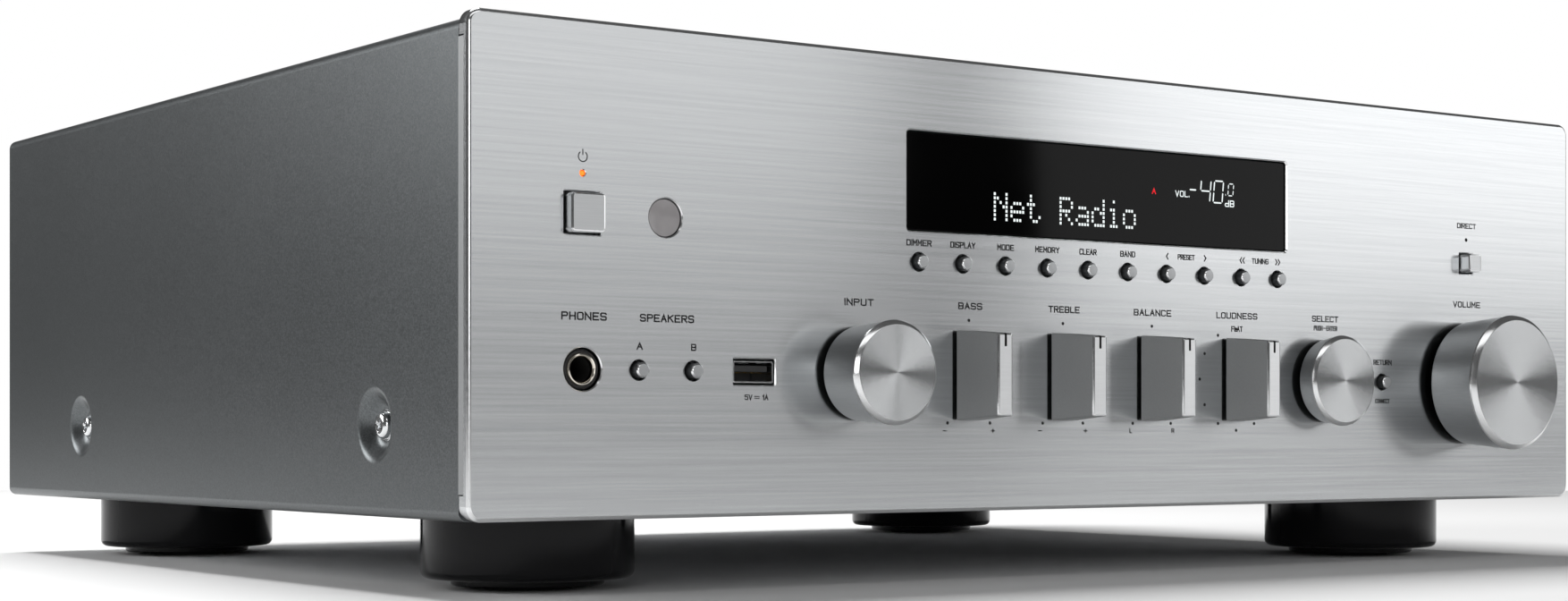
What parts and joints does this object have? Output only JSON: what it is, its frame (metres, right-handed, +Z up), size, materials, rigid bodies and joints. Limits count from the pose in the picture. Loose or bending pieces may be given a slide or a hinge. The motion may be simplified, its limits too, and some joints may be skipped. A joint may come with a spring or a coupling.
{
  "type": "stereo receiver",
  "caption": "Wide hi-fi stereo receiver with a brushed aluminium front, knobs, push buttons, a dark display, sockets and round feet.",
  "frame": {"origin": "on the plane that the feet stand on, at the middle of the width and of the overall depth", "axes": "+X right as seen from the front, +Y from front to back, +Z up"},
  "size_m": [0.435, 0.392, 0.151],
  "materials": {
    "brushed_aluminium": "fine horizontal brushing, clear anodised",
    "spun_aluminium": "spun faces, satin sides",
    "raw_aluminium": "extruded, unfinished",
    "silver_paint": "satin metallic silver",
    "black_steel": "satin black",
    "frame_paint": "satin silver",
    "black_gloss": "gloss",
    "black_plastic": "fine matt",
    "plated_steel": "bright zinc plated",
    "smoked_glass": "smoked, polished",
    "sensor_lens": "smoked, polished",
    "amber_lens": "clear amber",
    "green_board": "lacquered circuit board"
  },
  "bodies": {
    "cabinet": {"ac_inlet": "black_plastic", "amplifier_board": "green_board", "bottom_chassis": "plated_steel", "cover_screw_left_front": "plated_steel", "cover_screw_left_rear": "plated_steel", "cover_screw_right_front": "plated_steel", "cover_screw_right_rear": "plated_steel", "display_module": "smoked_glass", "display_window": "smoked_glass", "filter_capacitor_left": "black_plastic", "filter_capacitor_right": "black_plastic", "foot_front_left": "black_gloss", "foot_front_right": "black_gloss", "foot_rear_left": "black_gloss", "foot_rear_right": "black_gloss", "front_board": "green_board", "front_frame": "frame_paint", "front_panel": "brushed_aluminium", "heat_sink": "raw_aluminium", "network_port": "plated_steel", "phones_jack": "black_plastic", "power_lamp": "amber_lens", "power_transformer": "plated_steel", "rca_jacks": "black_plastic", "rear_panel": "black_steel", "sensor_window": "sensor_lens", "speaker_terminals": "black_plastic", "top_cover": "silver_paint", "usb_port": "plated_steel"},
    "power_button": {"power_button": "spun_aluminium"},
    "direct_button": {"direct_button": "spun_aluminium"},
    "speaker_a_button": {"speaker_a_button": "spun_aluminium"},
    "speaker_b_button": {"speaker_b_button": "spun_aluminium"},
    "return_button": {"return_button": "spun_aluminium"},
    "dimmer_button": {"dimmer_button": "spun_aluminium"},
    "display_button": {"display_button": "spun_aluminium"},
    "mode_button": {"mode_button": "spun_aluminium"},
    "memory_button": {"memory_button": "spun_aluminium"},
    "clear_button": {"clear_button": "spun_aluminium"},
    "band_button": {"band_button": "spun_aluminium"},
    "preset_down_button": {"preset_down_button": "spun_aluminium"},
    "preset_up_button": {"preset_up_button": "spun_aluminium"},
    "tuning_down_button": {"tuning_down_button": "spun_aluminium"},
    "tuning_up_button": {"tuning_up_button": "spun_aluminium"},
    "input_control": {"input_knob": "spun_aluminium", "input_shaft": "plated_steel"},
    "volume_control": {"volume_knob": "spun_aluminium", "volume_shaft": "plated_steel"},
    "select_rotor": {"select_shaft": "plated_steel"},
    "select_knob": {"select_knob": "spun_aluminium"},
    "bass_control": {"bass_knob": "spun_aluminium", "bass_shaft": "plated_steel"},
    "treble_control": {"treble_knob": "spun_aluminium", "treble_shaft": "plated_steel"},
    "balance_control": {"balance_knob": "spun_aluminium", "balance_shaft": "plated_steel"},
    "loudness_control": {"loudness_knob": "spun_aluminium", "loudness_shaft": "plated_steel"},
    "aerial_left": {"wireless_aerial_left": "black_plastic"},
    "aerial_right": {"wireless_aerial_right": "black_plastic"}
  },
  "joints": [
    {"name": "power_press", "type": "slide", "parent": "cabinet", "child": "power_button", "axis": [0, 1, 0], "range_m": [0, 0.001], "stiffness_N_per_m": 600, "springref_m": -0.001},
    {"name": "direct_press", "type": "slide", "parent": "cabinet", "child": "direct_button", "axis": [0, 1, 0], "range_m": [0, 0.001], "stiffness_N_per_m": 600, "springref_m": -0.001},
    {"name": "speaker_a_press", "type": "slide", "parent": "cabinet", "child": "speaker_a_button", "axis": [0, 1, 0], "range_m": [0, 0.001], "stiffness_N_per_m": 600, "springref_m": -0.001},
    {"name": "speaker_b_press", "type": "slide", "parent": "cabinet", "child": "speaker_b_button", "axis": [0, 1, 0], "range_m": [0, 0.001], "stiffness_N_per_m": 600, "springref_m": -0.001},
    {"name": "return_press", "type": "slide", "parent": "cabinet", "child": "return_button", "axis": [0, 1, 0], "range_m": [0, 0.001], "stiffness_N_per_m": 600, "springref_m": -0.001},
    {"name": "dimmer_press", "type": "slide", "parent": "cabinet", "child": "dimmer_button", "axis": [0, 1, 0], "range_m": [0, 0.001], "stiffness_N_per_m": 600, "springref_m": -0.001},
    {"name": "display_press", "type": "slide", "parent": "cabinet", "child": "display_button", "axis": [0, 1, 0], "range_m": [0, 0.001], "stiffness_N_per_m": 600, "springref_m": -0.001},
    {"name": "mode_press", "type": "slide", "parent": "cabinet", "child": "mode_button", "axis": [0, 1, 0], "range_m": [0, 0.001], "stiffness_N_per_m": 600, "springref_m": -0.001},
    {"name": "memory_press", "type": "slide", "parent": "cabinet", "child": "memory_button", "axis": [0, 1, 0], "range_m": [0, 0.001], "stiffness_N_per_m": 600, "springref_m": -0.001},
    {"name": "clear_press", "type": "slide", "parent": "cabinet", "child": "clear_button", "axis": [0, 1, 0], "range_m": [0, 0.001], "stiffness_N_per_m": 600, "springref_m": -0.001},
    {"name": "band_press", "type": "slide", "parent": "cabinet", "child": "band_button", "axis": [0, 1, 0], "range_m": [0, 0.001], "stiffness_N_per_m": 600, "springref_m": -0.001},
    {"name": "preset_down_press", "type": "slide", "parent": "cabinet", "child": "preset_down_button", "axis": [0, 1, 0], "range_m": [0, 0.001], "stiffness_N_per_m": 600, "springref_m": -0.001},
    {"name": "preset_up_press", "type": "slide", "parent": "cabinet", "child": "preset_up_button", "axis": [0, 1, 0], "range_m": [0, 0.001], "stiffness_N_per_m": 600, "springref_m": -0.001},
    {"name": "tuning_down_press", "type": "slide", "parent": "cabinet", "child": "tuning_down_button", "axis": [0, 1, 0], "range_m": [0, 0.001], "stiffness_N_per_m": 600, "springref_m": -0.001},
    {"name": "tuning_up_press", "type": "slide", "parent": "cabinet", "child": "tuning_up_button", "axis": [0, 1, 0], "range_m": [0, 0.001], "stiffness_N_per_m": 600, "springref_m": -0.001},
    {"name": "input_turn", "type": "hinge", "parent": "cabinet", "child": "input_control", "pos_m": [-0.0944, -0.1745, 0.06], "axis": [0, 1, 0], "continuous": true},
    {"name": "volume_turn", "type": "hinge", "parent": "cabinet", "child": "volume_control", "pos_m": [0.1636, -0.1745, 0.06], "axis": [0, 1, 0], "continuous": true},
    {"name": "select_turn", "type": "hinge", "parent": "cabinet", "child": "select_rotor", "pos_m": [0.0944, -0.1745, 0.06], "axis": [0, 1, 0], "continuous": true},
    {"name": "select_push", "type": "slide", "parent": "select_rotor", "child": "select_knob", "axis": [0, 1, 0], "range_m": [0, 0.001], "stiffness_N_per_m": 900, "springref_m": -0.001},
    {"name": "bass_turn", "type": "hinge", "parent": "cabinet", "child": "bass_control", "pos_m": [-0.05423, -0.1745, 0.06], "axis": [0, 1, 0], "range_deg": [-150, 150]},
    {"name": "treble_turn", "type": "hinge", "parent": "cabinet", "child": "treble_control", "pos_m": [-0.01808, -0.1745, 0.06], "axis": [0, 1, 0], "range_deg": [-150, 150]},
    {"name": "balance_turn", "type": "hinge", "parent": "cabinet", "child": "balance_control", "pos_m": [0.01808, -0.1745, 0.06], "axis": [0, 1, 0], "range_deg": [-150, 150]},
    {"name": "loudness_turn", "type": "hinge", "parent": "cabinet", "child": "loudness_control", "pos_m": [0.05423, -0.1745, 0.06], "axis": [0, 1, 0], "range_deg": [-300, 0]},
    {"name": "aerial_left_swing", "type": "hinge", "parent": "cabinet", "child": "aerial_left", "pos_m": [-0.19, 0.1745, 0.1338], "axis": [0, -1, 0], "range_deg": [0, 90]},
    {"name": "aerial_right_swing", "type": "hinge", "parent": "cabinet", "child": "aerial_right", "pos_m": [0.19, 0.1745, 0.1338], "axis": [0, 1, 0], "range_deg": [0, 90]}
  ]
}
